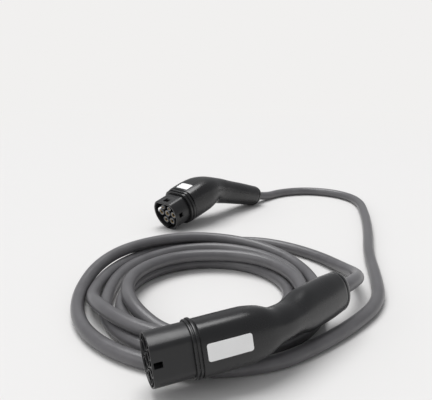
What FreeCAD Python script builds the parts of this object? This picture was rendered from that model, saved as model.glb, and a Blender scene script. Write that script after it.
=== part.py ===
import FreeCAD, Part

import math
import os

import Sketcher
from FreeCAD import Placement, Rotation, Vector

# Electric vehicle charging cable, three-phase: a socket-type vehicle connector, a pin-type station plug
# and the flexible cable between them, lying on the floor in a loose flat coil. Millimetres, +Z up.
# The origin is on the floor, at the centre of the rectangle that the two connectors cover.
# Each connector is drawn in a frame of its own: +X out of its face, +Z towards its flat top.

os.makedirs("parts", exist_ok=True)
doc = FreeCAD.newDocument("charging_cable")
sheet = doc.addObject("Spreadsheet::Sheet", "Sizes")

# Driving dimensions shared by both connectors and the cable
sharedSizes = {
    "cableRadius": 8.75,
    "contactRowPitch": 16.75,
    "lowerRowHalfPitch": 8.5,
    "lowerRowDrop": 14.7,
    "pilotHalfPitch": 8.45,
    "pilotRise": 11.75,
    "powerPinRadius": 3.0,
    "pilotPinRadius": 1.5,
    "powerShankRadius": 4.2,
    "pilotShankRadius": 2.4,
    "contactFlangeRim": 0.9,
    "contactFlangeLength": 1.8,
    "contactTailLength": 11.0,
    "crimpLength": 8.0,
    "powerWireRadius": 2.3,
    "pilotWireRadius": 1.0,
    "wireBundleRadius": 5.6,
    "wireLead": 6.0,
    "slideGap": 0.2,
    "seatGap": 0.1,
    "carrierBase": 8.0,
    "retainerThickness": 4.0,
    "retainerScrewRadius": 1.5,
    "retainerScrewHead": 2.8,
    "retainerScrewHeadHeight": 1.8,
    "retainerScrewLength": 9.0,
    "retainerScrewRise": 16.0,
    "retainerScrewDrop": 21.5,
    "retainerScrewSocket": 1.2,
    "collarGrooveDepth": 1.7,
    "collarFlangeDrop": 0.8,
    "sealThickness": 1.4,
    "sealInset": 1.6,
    "housingWall": 2.8,
    "sectionSpacing": 11.0,
    "housingMouth": 13.0,
    "capLength": 14.0,
    "capSeam": 0.3,
    "capSpigot": 6.0,
    "cableSealThickness": 3.0,
    "cableSealRim": 3.2,
    "clampLength": 14.0,
    "clampInset": 16.0,
    "clampWall": 3.2,
    "clampSplit": 0.6,
    "clampEar": 7.5,
    "clampEarHeight": 4.0,
    "clampScrewRadius": 1.6,
    "clampScrewHead": 2.8,
    "clampScrewHeadHeight": 2.0,
    "cableEndLength": 54.0,
    "cableGap": 0.3,
    "capEndWall": 4.0,
    "capMidHalf": 0.93,
    "capEndHalf": 0.74,
    "labelThickness": 0.5,
    "labelSunk": 0.2,
    "labelCorner": 2.5,
    "labelGap": 0.3,
    "resistorRadius": 1.5,
    "resistorLength": 5.0,
    "leadRadius": 0.4,
    "rimRounding": 0.5,
    "contactInset": 1.0,
    "contactTailStep": 0.8,
    "contactMouthRounding": 0.3,
    "pinTipShare": 0.6,
    "socketDepth": 24.0,
}

# Vehicle connector: nose, towers, housing sections and where it lies
vehicleSizes = {
    "vehicleNoseRadius": 31.5,
    "vehicleNoseFlat": 25.0,
    "vehicleNoseCorner": 9.0,
    "vehicleNoseWall": 3.3,
    "vehicleNoseLength": 34.0,
    "vehicleSpigotStep": 1.2,
    "vehicleSpigotLength": 24.0,
    "vehicleCavityDepth": 28.0,
    "vehicleTowerRecess": 4.3,
    "vehicleTowerRadius": 6.3,
    "vehiclePilotTowerRadius": 4.4,
    "vehicleGuardLength": 2.5,
    "vehicleKeyWidth": 5.0,
    "vehicleKeyDepth": 2.0,
    "vehicleKeyLength": 14.0,
    "vehicleWindowFromRim": 7.0,
    "vehicleWindowLength": 10.0,
    "vehicleTopWindowWidth": 13.0,
    "vehicleSideWindowWidth": 8.5,
    "vehicleCollarRadius": 37.2,
    "vehicleCollarFlat": 30.2,
    "vehicleCollarFlange": 3.0,
    "vehicleCollarGroove": 3.0,
    "vehicleCollarBand": 5.0,
    "vehicleStraight": 28.0,
    "vehicleBendRadius": 150.0,
    "vehicleBendAngle": 32.0,
    "vehicleWiresBundledAt": 88.0,
    "vehicleLabelLength": 17.5,
    "vehicleLabelWidth": 30.0,
    "vehicleLabelFromCollar": 5.0,
    "vehicleX": -116.83,
    "vehicleY": 170.47,
    "vehicleZ": 30.17,
    "vehicleAzimuth": 226.1,
    "vehiclePitch": 15.915,
    "vehicleRoll": 0.0,
}

# Station plug: nose, wells, housing sections and where it lies
plugSizes = {
    "plugNoseRadius": 27.2,
    "plugNoseFlat": 21.7,
    "plugNoseCorner": 8.2,
    "plugNoseWall": 1.8,
    "plugNoseLength": 41.0,
    "plugSpigotStep": 0.7,
    "plugSpigotLength": 19.0,
    "plugWellDepth": 39.0,
    "plugWellRecess": 0.8,
    "plugWellRadius": 6.6,
    "plugPilotWellRadius": 4.6,
    "plugWellWall": 1.0,
    "plugPinRecess": 8.5,
    "plugWindowFromRim": 2.0,
    "plugWindowLength": 8.8,
    "plugTopWindowWidth": 6.0,
    "plugCollarRadius": 30.2,
    "plugCollarFlat": 25.9,
    "plugCollarFlange": 2.4,
    "plugCollarGroove": 1.2,
    "plugCollarBand": 2.4,
    "plugStraight": 58.8,
    "plugBendRadius": 99.0,
    "plugBendAngle": 28.4,
    "plugWiresBundledAt": 82.0,
    "plugLabelLength": 46.5,
    "plugLabelWidth": 17.4,
    "plugLabelFromCollar": 5.0,
    "plugX": -87.45,
    "plugY": -350.32,
    "plugZ": 41.34,
    "plugAzimuth": 200.9,
    "plugPitch": 4.1,
    "plugRoll": -77.0,
}

# Coil: centre, and the heights of its two layers
coilSizes = {
    "coilX": -31.83,
    "coilY": -124.53,
    "coilFloorTop": 17.5,
    "coilTop": 34.5,
    "coilDipTop": 23.5,
    "coilCrossTop": 31.0,
    "coilBridgeTop": 33.0,
    "coilRounding": 6.0,
    "pathShare": 0.45,
    "endShare": 0.9,
}

# Housing sections from the collar to the gland cap:
# distance along the housing, half width, height above and below its centre line, squareness of the top
sectionNames = ("At", "Half", "Top", "Bottom", "Square")
vehicleSections = {
    "Front": (0.0, 36.2, 30.6, 37.0, 3.6),
    "Body": (24.0, 36.6, 31.4, 37.4, 3.4),
    "Shoulder": (46.0, 36.0, 31.4, 36.6, 3.0),
    "Turn": (64.0, 32.6, 29.6, 33.0, 2.7),
    "Waist": (84.0, 26.0, 25.6, 26.0, 2.4),
    "Ledge": (100.0, 22.8, 23.4, 28.4, 2.3),
    "Grip": (128.0, 21.4, 21.8, 26.8, 2.2),
    "Palm": (175.0, 22.3, 21.0, 24.6, 2.2),
    "Butt": (212.0, 22.0, 19.6, 23.0, 2.2),
}
plugSections = {
    "Front": (0.0, 28.0, 24.8, 28.0, 3.4),
    "Body": (28.0, 28.3, 25.2, 28.3, 3.3),
    "Shoulder": (50.8, 28.4, 25.0, 27.7, 3.0),
    "Turn": (68.8, 26.0, 23.2, 25.2, 2.7),
    "Waist": (88.8, 19.0, 20.3, 21.2, 2.4),
    "Grip": (108.8, 18.5, 19.7, 20.6, 2.3),
    "Palm": (144.8, 25.2, 19.7, 20.9, 2.2),
    "Heel": (182.8, 25.6, 19.3, 20.7, 2.2),
    "Butt": (210.7, 24.4, 18.0, 19.5, 2.2),
}


# The cable's corner points on the floor frame, clockwise seen from above: X, Y, Z
floorRun = [
    (127.77, 424.67, 8.75),
    (195.97, 444.37, 8.75),
    (263.67, 414.37, 8.75),
    (295.37, 349.67, 8.75),
    (280.17, 244.47, 8.75),
    (256.17, 133.47, 8.75),
    (226.17, 23.47, 8.75),
    (209.17, -84.53, 8.75),
    (191.17, -159.53, 8.75),
    (141.17, -221.53, 8.75),
    (83.17, -274.53, 8.75),
    (34.17, -307.53, 8.75),
    (-38.43, -314.93, 8.75),
]
exitRun = [
    (-31.83, 76.47, 8.75),
    (38.17, 82.47, 8.75),
    (93.17, 57.47, 8.75),
    (143.17, 7.47, 8.75),
    (170.17, -47.53, 11.00),
    (176.17, -107.53, 25.00),
]

# Outer shape of the coil: degrees clockwise from +X, then radius, for each layer
coilFloorOuter = [(0, 156), (24, 164), (48, 170), (75, 179), (90, 199), (112, 195), (135, 190), (157, 185),
                  (180, 181), (210, 181), (240, 192), (270, 210), (286, 204), (302, 193), (320, 178), (340, 165)]
coilFloorInner = [(0, 100), (45, 99), (90, 118), (135, 112), (180, 101), (225, 97), (270, 97), (315, 98)]
coilTopOuter = [(150, 121), (180, 115), (225, 107), (270, 105), (315, 114), (360, 128), (385, 141)]
coilTopInner = [(150, 104), (180, 97), (225, 89), (270, 87), (315, 96), (360, 110), (385, 123)]
coilDipOuter = [(383, 140), (394, 146), (408, 152), (420, 157), (435, 162)]
coilDipInner = [(383, 122), (394, 128), (408, 134), (420, 139), (435, 144)]
coilCrossOuter = [(432, 162), (450, 166), (472, 161), (495, 159), (517, 162), (530, 163)]
coilCrossInner = [(432, 144), (450, 149), (472, 143), (495, 141), (517, 144), (530, 145)]
coilBridgeOuter = [(196, 182), (210, 185), (225, 187), (248, 193), (270, 197), (292, 189), (312, 180)]
coilBridgeInner = [(196, 164), (210, 167), (225, 169), (248, 175), (270, 179), (292, 171), (312, 162)]


def putSizes():
    rows = dict(sharedSizes)
    rows.update(vehicleSizes)
    rows.update(plugSizes)
    rows.update(coilSizes)
    for prefix, sections in (("vehicle", vehicleSections), ("plug", plugSections)):
        for place, numbers in sections.items():
            for word, number in zip(sectionNames, numbers):
                rows[prefix + place + word] = number
    for row, (alias, number) in enumerate(rows.items(), start=1):
        sheet.set("A%d" % row, alias)
        sheet.set("B%d" % row, str(number))
        sheet.setAlias("B%d" % row, alias)
    doc.recompute()


putSizes()


def size(expression):
    return float(sheet.evalExpression(expression))


def cell(alias):
    return "Sizes." + alias


# Sketches on a body's own planes: YZ is a cut across the connector, seen from its face
def newBody(label):
    body = doc.addObject("PartDesign::Body", label)
    body.Label = label
    return body


def newSketch(body, name, role, offset="0"):
    sketch = body.newObject("Sketcher::SketchObject", body.Name + "_" + name)
    plane = [item for item in body.Origin.OriginFeatures if item.Role == role][0]
    sketch.AttachmentSupport = [(plane, "")]
    sketch.MapMode = "FlatFace"
    sketch.setExpression("AttachmentOffset.Base.z", offset)
    return sketch


def bindDatum(sketch, index, name, expression):
    sketch.renameConstraint(index, name)
    sketch.setExpression("Constraints." + name, expression)


def drawD(sketch, name, radius, flat, corner):
    """Closed D: a round with a flat top and two rounded corners."""
    r, f, c = size(radius), size(flat), size(corner)
    across = math.sqrt((r - c) ** 2 - (f - c) ** 2)
    start = math.atan2(f - c, across)
    up = Vector(0, 0, 1)
    round_ = Part.ArcOfCircle(Part.Circle(Vector(0, 0, 0), up, r), math.pi - start, 2 * math.pi + start)
    right = Part.ArcOfCircle(Part.Circle(Vector(across, f - c, 0), up, c), start, math.pi / 2)
    top = Part.LineSegment(Vector(across, f, 0), Vector(-across, f, 0))
    left = Part.ArcOfCircle(Part.Circle(Vector(-across, f - c, 0), up, c), math.pi / 2, math.pi - start)
    first = sketch.addGeometry(round_, False)
    sketch.addGeometry(right, False)
    sketch.addGeometry(top, False)
    sketch.addGeometry(left, False)
    sketch.addConstraint(Sketcher.Constraint("Coincident", first, 3, -1, 1))
    sketch.addConstraint(Sketcher.Constraint("Tangent", first, 2, first + 1, 1))
    sketch.addConstraint(Sketcher.Constraint("Tangent", first + 1, 2, first + 2, 1))
    sketch.addConstraint(Sketcher.Constraint("Tangent", first + 2, 2, first + 3, 1))
    sketch.addConstraint(Sketcher.Constraint("Tangent", first + 3, 2, first, 1))
    sketch.addConstraint(Sketcher.Constraint("Equal", first + 1, first + 3))
    sketch.addConstraint(Sketcher.Constraint("Horizontal", first + 2))
    index = sketch.addConstraint(Sketcher.Constraint("Radius", first, r))
    bindDatum(sketch, index, name + "Radius", radius)
    index = sketch.addConstraint(Sketcher.Constraint("Radius", first + 1, c))
    bindDatum(sketch, index, name + "Corner", corner)
    index = sketch.addConstraint(Sketcher.Constraint("DistanceY", -1, 1, first + 2, 1, f))
    bindDatum(sketch, index, name + "Flat", flat)


def drawCircle(sketch, name, side, rise, radius):
    """Circle at a signed distance from the body's axis; side and rise are (sign, expression) or None."""
    y = 0.0 if side is None else side[0] * size(side[1])
    z = 0.0 if rise is None else rise[0] * size(rise[1])
    circle = Part.Circle(Vector(y, z, 0), Vector(0, 0, 1), size(radius))
    index = sketch.addGeometry(circle, False)
    datum = sketch.addConstraint(Sketcher.Constraint("Radius", index, size(radius)))
    bindDatum(sketch, datum, name + "Radius", radius)
    for place, kind, axis in ((side, "DistanceX", -2), (rise, "DistanceY", -1)):
        if place is None:
            sketch.addConstraint(Sketcher.Constraint("PointOnObject", index, 3, axis))
            continue
        ends = (-1, 1, index, 3) if place[0] > 0 else (index, 3, -1, 1)
        datum = sketch.addConstraint(Sketcher.Constraint(kind, *ends, size(place[1])))
        bindDatum(sketch, datum, name + kind, place[1])


def drawBox(sketch, name, low, wide, base, tall):
    """Rectangle from a low corner: low and base are signed expressions, wide and tall are sizes."""
    x, y, w, h = size(low), size(base), size(wide), size(tall)
    corners = [Vector(x, y, 0), Vector(x + w, y, 0), Vector(x + w, y + h, 0), Vector(x, y + h, 0)]
    first = None
    for start, end in zip(corners, corners[1:] + corners[:1]):
        index = sketch.addGeometry(Part.LineSegment(start, end), False)
        first = index if first is None else first
    for turn in range(4):
        here, after = first + turn, first + (turn + 1) % 4
        sketch.addConstraint(Sketcher.Constraint("Coincident", here, 2, after, 1))
        sketch.addConstraint(Sketcher.Constraint(("Horizontal", "Vertical")[turn % 2], here))
    for kind, ends, expression in (
        ("DistanceX", (-1, 1, first, 1), low),
        ("DistanceY", (-1, 1, first, 1), base),
        ("DistanceX", (first, 1, first, 2), wide),
        ("DistanceY", (first + 1, 1, first + 1, 2), tall),
    ):
        datum = sketch.addConstraint(Sketcher.Constraint(kind, *ends, size(expression)))
        bindDatum(sketch, datum, name + kind + str(ends[0] + 2), expression)


def extrude(body, sketch, length, cut=False, both=False):
    """Pad or pocket towards -X of the connector, or on both sides of the sketch."""
    kind = "PartDesign::Pocket" if cut else "PartDesign::Pad"
    feature = body.newObject(kind, sketch.Name + ("_cut" if cut else "_pad"))
    feature.Profile = sketch
    feature.setExpression("Length", length)
    feature.Reversed = not cut
    if both:
        feature.SideType = "Symmetric"
    sketch.Visibility = False
    return feature


def extrudeD(body, name, x, length, radius, flat, corner, cut=False):
    sketch = newSketch(body, name, "YZ_Plane", x)
    drawD(sketch, name, radius, flat, corner)
    return extrude(body, sketch, length, cut)


def extrudeCircles(body, name, x, length, circles, cut=False):
    sketch = newSketch(body, name, "YZ_Plane", x)
    for circleName, side, rise, radius in circles:
        drawCircle(sketch, circleName, side, rise, radius)
    return extrude(body, sketch, length, cut)


def roundEdges(body, radius, chosen, name):
    """Fillet on the edges of the body's last feature that a test picks."""
    doc.recompute()
    base = body.Tip
    edges = ["Edge%d" % n for n, edge in enumerate(base.Shape.Edges, start=1) if chosen(edge)]
    fillet = body.newObject("PartDesign::Fillet", body.Name + "_" + name)
    fillet.Base = (base, edges)
    fillet.setExpression("Radius", radius)
    return fillet


def acrossAt(x):
    """Test for edges that lie in one plane across the connector."""
    return lambda edge: abs(edge.BoundBox.XMin - x) < 1e-4 and abs(edge.BoundBox.XMax - x) < 1e-4


# The seven contacts, seen from the face: name, side, rise, and whether it carries power
row = "Sizes.contactRowPitch"
low = ("Sizes.lowerRowHalfPitch", "Sizes.lowerRowDrop")
pilot = ("Sizes.pilotHalfPitch", "Sizes.pilotRise")
contactPlaces = [
    ("n", (-1, row), None, True),
    ("pe", None, None, True),
    ("l1", (1, row), None, True),
    ("l3", (-1, low[0]), (-1, low[1]), True),
    ("l2", (1, low[0]), (-1, low[1]), True),
    ("pp", (-1, pilot[0]), (1, pilot[1]), False),
    ("cp", (1, pilot[0]), (1, pilot[1]), False),
]


def contactCircles(power, pilotRadius):
    return [(name, side, rise, power if isPower else pilotRadius) for name, side, rise, isPower in contactPlaces]


def screwCircles(radius):
    return [
        ("upper", None, (1, "Sizes.retainerScrewRise"), radius),
        ("lower", None, (-1, "Sizes.retainerScrewDrop"), radius),
    ]


class Connector:
    """Expressions for one connector's planes along X and its D sizes."""

    def __init__(self, prefix, depth):
        own = lambda word: "Sizes." + prefix + word
        self.prefix = prefix
        self.radius, self.flat, self.corner = own("NoseRadius"), own("NoseFlat"), own("NoseCorner")
        self.wall, self.noseLength = own("NoseWall"), own("NoseLength")
        self.step = own("SpigotStep")
        self.depth = own(depth)
        self.collarRadius, self.collarFlat = own("CollarRadius"), own("CollarFlat")
        self.collarLength = "(%s + %s + %s)" % (own("CollarFlange"), own("CollarGroove"), own("CollarBand"))
        self.baseRear = "(%s + Sizes.carrierBase)" % self.depth
        self.flangeRear = "(%s + Sizes.contactFlangeLength)" % self.baseRear
        self.retainerRear = "(%s + Sizes.retainerThickness)" % self.flangeRear
        self.housingFront = "(%s + %s + Sizes.sealThickness)" % (self.noseLength, self.collarLength)
        self.own = own

    def d(self, less="0"):
        """Radius, flat and corner of the nose outline moved inwards."""
        return tuple("%s - (%s)" % (outer, less) for outer in (self.radius, self.flat, self.corner))

    def collarD(self, less="0"):
        grown = "%s + %s - %s" % (self.corner, self.collarRadius, self.radius)
        return tuple("%s - (%s)" % (outer, less) for outer in (self.collarRadius, self.collarFlat, grown))


vehicle = Connector("vehicle", "CavityDepth")
plug = Connector("plug", "WellDepth")


# Nose shell: a D-shaped tube with locking windows and a spigot that the collar and housing slide over
def noseShell(kind):
    body = newBody(kind.prefix + "_nose_shell")
    extrudeD(body, "outer", "0", kind.noseLength, *kind.d())
    spigot = "-" + kind.noseLength
    extrudeD(body, "spigot", spigot, kind.own("SpigotLength"), *kind.d(kind.step))
    through = "%s + %s" % (kind.noseLength, kind.own("SpigotLength"))
    extrudeD(body, "inner", "0", through, *kind.d(kind.wall), cut=True)
    window = newSketch(body, "top_window", "XY_Plane", kind.flat + " + 1")
    length, width = kind.own("WindowLength"), kind.own("TopWindowWidth")
    back = "-%s - %s" % (kind.own("WindowFromRim"), length)
    drawBox(window, "top", back, length, "-%s / 2" % width, width)
    extrude(body, window, kind.wall + " + 2", cut=True)
    if kind is vehicle:
        side = newSketch(body, "side_windows", "XZ_Plane")
        width = kind.own("SideWindowWidth")
        drawBox(side, "side", back, length, "-%s / 2" % width, width)
        extrude(body, side, "2 * %s + 2" % kind.radius, cut=True, both=True)
        keyway = newSketch(body, "keyway", "YZ_Plane")
        width, deep = kind.own("KeyWidth"), kind.own("KeyDepth")
        floor = "-(%s - %s) - %s" % (kind.radius, kind.wall, deep)
        drawBox(keyway, "key", "-%s / 2" % width, width, floor, deep + " + 1")
        extrude(body, keyway, kind.own("KeyLength"), cut=True)
    roundEdges(body, "Sizes.rimRounding", acrossAt(0.0), "rim")
    return body


# Contact carrier: a D-shaped base, with a tower for each of the vehicle connector's contacts
def vehicleCarrier():
    body = newBody("vehicle_contact_carrier")
    extrudeD(body, "base", "-" + vehicle.depth, "Sizes.carrierBase", *vehicle.d(vehicle.wall + " + Sizes.seatGap"))
    tip = "(Sizes.vehicleTowerRecess + Sizes.vehicleGuardLength)"
    towers = contactCircles("Sizes.vehicleTowerRadius", "Sizes.vehiclePilotTowerRadius")
    extrudeCircles(body, "towers", "-" + tip, "%s - %s" % (vehicle.depth, tip), towers)
    bores = contactCircles("Sizes.powerShankRadius + Sizes.seatGap", "Sizes.pilotShankRadius + Sizes.seatGap")
    extrudeCircles(body, "bores", "-" + tip, "%s - %s" % (vehicle.baseRear, tip), bores, cut=True)
    screwHoles(body, vehicle)
    return body


def plugCarrier():
    body = newBody("plug_contact_carrier")
    extrudeD(body, "base", "-" + plug.depth, "Sizes.carrierBase", *plug.d(plug.wall + " + Sizes.seatGap"))
    bores = contactCircles("Sizes.powerShankRadius + Sizes.seatGap", "Sizes.pilotShankRadius + Sizes.seatGap")
    extrudeCircles(body, "bores", "-" + plug.depth, "Sizes.carrierBase", bores, cut=True)
    screwHoles(body, plug)
    return body


# Wells: an open tube around each of the station plug's pins, standing on the carrier
def contactWells():
    body = newBody("plug_contact_wells")
    mouth = "Sizes.plugWellRecess"
    deep = "%s - %s" % (plug.depth, mouth)
    wells = contactCircles("Sizes.plugWellRadius + Sizes.plugWellWall", "Sizes.plugPilotWellRadius + Sizes.plugWellWall")
    extrudeCircles(body, "tubes", "-" + mouth, deep, wells)
    inside = contactCircles("Sizes.plugWellRadius", "Sizes.plugPilotWellRadius")
    extrudeCircles(body, "hollows", "-" + mouth, deep, inside, cut=True)
    return body


def screwHoles(body, kind):
    holes = screwCircles("Sizes.retainerScrewRadius + Sizes.seatGap")
    extrudeCircles(body, "screw_holes", "-" + kind.depth, "Sizes.carrierBase", holes, cut=True)


# Contacts: turned pieces with a flange behind the carrier and a crimp tail
def contact(kind, place):
    name, side, rise, isPower = place
    word = "power" if isPower else "pilot"
    shank = "Sizes.%sShankRadius" % word
    pin = "Sizes.%sPinRadius" % word
    circle = lambda radius: [(name, side, rise, radius)]
    body = newBody("%s_%s_%s" % (kind.prefix, "socket" if kind is vehicle else "pin", name))
    if kind is vehicle:
        front = "(Sizes.vehicleTowerRecess + Sizes.contactInset)"
        extrudeCircles(body, "shank", "-" + front, "%s - %s" % (kind.baseRear, front), circle(shank))
    else:
        front = "Sizes.plugPinRecess"
        extrudeCircles(body, "pin", "-" + front, "%s - %s" % (kind.depth, front), circle(pin))
        extrudeCircles(body, "shank", "-" + kind.depth, "Sizes.carrierBase", circle(shank))
    flange = circle(shank + " + Sizes.contactFlangeRim")
    extrudeCircles(body, "flange", "-" + kind.baseRear, "Sizes.contactFlangeLength", flange)
    tail = "Sizes.retainerThickness + Sizes.contactTailLength"
    extrudeCircles(body, "tail", "-" + kind.flangeRear, tail, circle(shank + " - Sizes.contactTailStep"))
    crimp = "-(%s + Sizes.contactTailLength - Sizes.crimpLength)" % kind.retainerRear
    wire = circle("Sizes.%sWireRadius + Sizes.seatGap" % word)
    extrudeCircles(body, "crimp", crimp, "Sizes.crimpLength", wire, cut=True)
    if kind is vehicle:
        extrudeCircles(body, "bore", "-" + front, "Sizes.socketDepth", circle(pin), cut=True)
        roundEdges(body, "Sizes.contactMouthRounding", acrossAt(-size(front)), "mouth")
    else:
        roundEdges(body, pin + " * Sizes.pinTipShare", acrossAt(-size(front)), "tip")
    return body


# Retainer plate: holds the contacts' flanges against the carrier
def retainerPlate(kind):
    body = newBody(kind.prefix + "_contact_retainer")
    extrudeD(body, "plate", "-" + kind.flangeRear, "Sizes.retainerThickness", *kind.d(kind.wall + " + Sizes.slideGap"))
    tails = "Sizes.%sShankRadius - Sizes.contactTailStep + Sizes.seatGap"
    holes = contactCircles(tails % "power", tails % "pilot")
    extrudeCircles(body, "contact_holes", "-" + kind.flangeRear, "Sizes.retainerThickness", holes, cut=True)
    holes = screwCircles("Sizes.retainerScrewRadius + Sizes.seatGap")
    extrudeCircles(body, "screw_holes", "-" + kind.flangeRear, "Sizes.retainerThickness", holes, cut=True)
    return body


# Collar with a double ridge, and the flat seal between it and the housing
def collar(kind):
    body = newBody(kind.prefix + "_collar")
    start = "-" + kind.noseLength
    extrudeD(body, "flange", start, kind.own("CollarFlange"), *kind.collarD("Sizes.collarFlangeDrop"))
    start += " - " + kind.own("CollarFlange")
    extrudeD(body, "groove", start, kind.own("CollarGroove"), *kind.collarD("Sizes.collarGrooveDepth"))
    start += " - " + kind.own("CollarGroove")
    extrudeD(body, "band", start, kind.own("CollarBand"), *kind.collarD())
    bore = kind.d(kind.step + " - Sizes.slideGap")
    extrudeD(body, "bore", "-" + kind.noseLength, kind.collarLength, *bore, cut=True)
    return body


def collarSeal(kind):
    body = newBody(kind.prefix + "_collar_seal")
    start = "-%s - %s" % (kind.noseLength, kind.collarLength)
    extrudeD(body, "rim", start, "Sizes.sealThickness", *kind.collarD("Sizes.sealInset"))
    bore = kind.d(kind.step + " - Sizes.slideGap")
    extrudeD(body, "bore", start, "Sizes.sealThickness", *bore, cut=True)
    return body


# Ring sets: the grey touch guards in front of the vehicle connector's towers
def touchGuards(label, isPower):
    word = "vehicleTowerRadius" if isPower else "vehiclePilotTowerRadius"
    shank = "powerShankRadius" if isPower else "pilotShankRadius"
    places = [place for place in contactPlaces if place[3] is isPower]
    rings = [(name, side, rise, cell(word)) for name, side, rise, power in places]
    holes = [(name, side, rise, cell(shank) + " + Sizes.seatGap") for name, side, rise, power in places]
    body = newBody(label)
    front = "-Sizes.vehicleTowerRecess"
    extrudeCircles(body, "rings", front, "Sizes.vehicleGuardLength", rings)
    extrudeCircles(body, "holes", front, "Sizes.vehicleGuardLength", holes, cut=True)
    roundEdges(body, "Sizes.rimRounding", acrossAt(-size("Sizes.vehicleTowerRecess")), "rim")
    return body


# Plain shapes placed in a connector's own frame, before the connector is laid down
def frameAlong(point, direction):
    return Placement(point, Rotation(Vector(0, 0, 1), direction))


def rod(start, end, radius):
    run = end - start
    return Part.makeCylinder(radius, run.Length, start, run)


def addShape(label, shape):
    feature = doc.addObject("Part::Feature", label)
    feature.Label = label
    feature.Shape = shape
    return feature


# Centre line of the housing: straight, then a bend downwards, then the grip
def spinePoint(kind, along):
    """Point and turn so far at a distance along the housing from its front."""
    straight, bend = size(kind.own("Straight")), size(kind.own("BendRadius"))
    whole = math.radians(size(kind.own("BendAngle")))
    front = -size(kind.housingFront)
    if along <= straight:
        return Vector(front - along, 0, 0), 0.0
    turn = min((along - straight) / bend, whole)
    rest = max(along - straight - bend * whole, 0.0)
    x = front - straight - bend * math.sin(turn) - rest * math.cos(turn)
    z = -bend * (1 - math.cos(turn)) - rest * math.sin(turn)
    return Vector(x, 0, z), turn


def across(turn, side, rise):
    """Step sideways and upwards in the cut across the housing at a turn."""
    return Vector(-rise * math.sin(turn), side, rise * math.cos(turn))


def heading(turn):
    return Vector(-math.cos(turn), 0, -math.sin(turn))


sectionPoints = 32
roundSquareness = 2.1


def sectionWire(kind, along, half, top, bottom, square):
    """Closed spline across the housing: squarer above than below."""
    centre, turn = spinePoint(kind, along)
    points = []
    for step in range(sectionPoints):
        angle = 2 * math.pi * step / sectionPoints
        y, z = math.cos(angle), math.sin(angle)
        power = 2 / (square if z > 0 else roundSquareness)
        reach = top if z > 0 else bottom
        y = math.copysign(abs(y) ** power, y) * half
        z = math.copysign(abs(z) ** power, z) * reach
        points.append(centre + across(turn, y, z))
    curve = Part.BSplineCurve()
    curve.interpolate(Points=points, PeriodicFlag=True)
    return Part.Wire(curve.toShape())


def sectionNumbers(kind, place):
    return [size(kind.own(place + word)) for word in sectionNames]


def smoothSlopes(at, values):
    """Slopes for a curve through a table that never overshoots between its rows."""
    secants = [(b - a) / (q - p) for a, b, p, q in zip(values, values[1:], at, at[1:])]
    slopes = [secants[0]]
    for before, after in zip(secants, secants[1:]):
        slopes.append(2 * before * after / (before + after) if before * after > 0 else 0.0)
    return slopes + [secants[-1]]


def sectionAt(table, along):
    """Half width, top, bottom and squareness anywhere along the housing."""
    at = table[0]
    n = max(k for k in range(len(at) - 1) if at[k] <= along + 1e-9)
    wide = at[n + 1] - at[n]
    t = (along - at[n]) / wide
    numbers = []
    for values in table[1:]:
        slopes = smoothSlopes(at, values)
        numbers.append((1 + 2 * t) * (1 - t) ** 2 * values[n] + t * (1 - t) ** 2 * wide * slopes[n]
                       + t * t * (3 - 2 * t) * values[n + 1] + t * t * (t - 1) * wide * slopes[n + 1])
    return numbers


def housingLoft(kind, places, less, reach=None):
    """Loft along the housing, moved inwards; reach ends it early."""
    table = list(zip(*[sectionNumbers(kind, place) for place in places]))
    whole = table[0][-1]
    count = round(whole / size("Sizes.sectionSpacing"))
    wires = []
    for step in range(count + 1):
        along = whole * step / count
        half, top, bottom, square = sectionAt(table, along)
        wires.append(sectionWire(kind, along, half - less, top - less, bottom - less, square))
        if reach is not None and along > reach:
            break
    return Part.makeLoft(wires, True, False)


def prismD(kind, start, length, less):
    """Solid D along the connector, from a plane behind the face."""
    r, f, c = (size(part) - less for part in (kind.radius, kind.flat, kind.corner))
    side = math.sqrt((r - c) ** 2 - (f - c) ** 2)
    round_ = Part.makeCylinder(r, length, Vector(-start, 0, 0), Vector(-1, 0, 0))
    tangent = (f - c) * r / (r - c)
    box = Part.makeBox(length, 2 * r, r, Vector(-start - length, -r, tangent))
    body = round_.cut(box)
    for sign in (-1, 1):
        at = Vector(-start, sign * side, f - c)
        body = body.fuse(Part.makeCylinder(c, length, at, Vector(-1, 0, 0)))
    middle = Part.makeBox(length, 2 * side, c, Vector(-start - length, -side, f - c))
    return body.fuse(middle).removeSplitter()


# Label: a thin plate that follows the flat top, in a shallow pocket of the same outline
def labelPrism(kind, grow):
    length, width = size(kind.own("LabelLength")) + 2 * grow, size(kind.own("LabelWidth")) + 2 * grow
    corner = size("Sizes.labelCorner") + grow
    back = -size(kind.housingFront) - size(kind.own("LabelFromCollar")) - length + grow
    tall = size(kind.own("CollarRadius"))
    block = Part.makeBox(length, width, tall, Vector(back, -width / 2, 0))
    upright = [edge for edge in block.Edges if edge.BoundBox.ZLength > tall - 1]
    return block.makeFillet(corner, upright)


def labelPlate(kind, places):
    thick, sunk = size("Sizes.labelThickness"), size("Sizes.labelSunk")
    reach = size(kind.own("LabelFromCollar")) + size(kind.own("LabelLength")) + size("Sizes.labelCorner")
    outer = housingLoft(kind, places, sunk - thick, reach)
    inner = housingLoft(kind, places, sunk, reach)
    return outer.common(labelPrism(kind, 0.0)).cut(inner)


def labelPocket(kind, places):
    gap = size("Sizes.labelGap")
    reach = size(kind.own("LabelFromCollar")) + size(kind.own("LabelLength")) + size("Sizes.labelCorner")
    floor = housingLoft(kind, places, size("Sizes.labelSunk") + gap, reach)
    return labelPrism(kind, gap).cut(floor)


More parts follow.
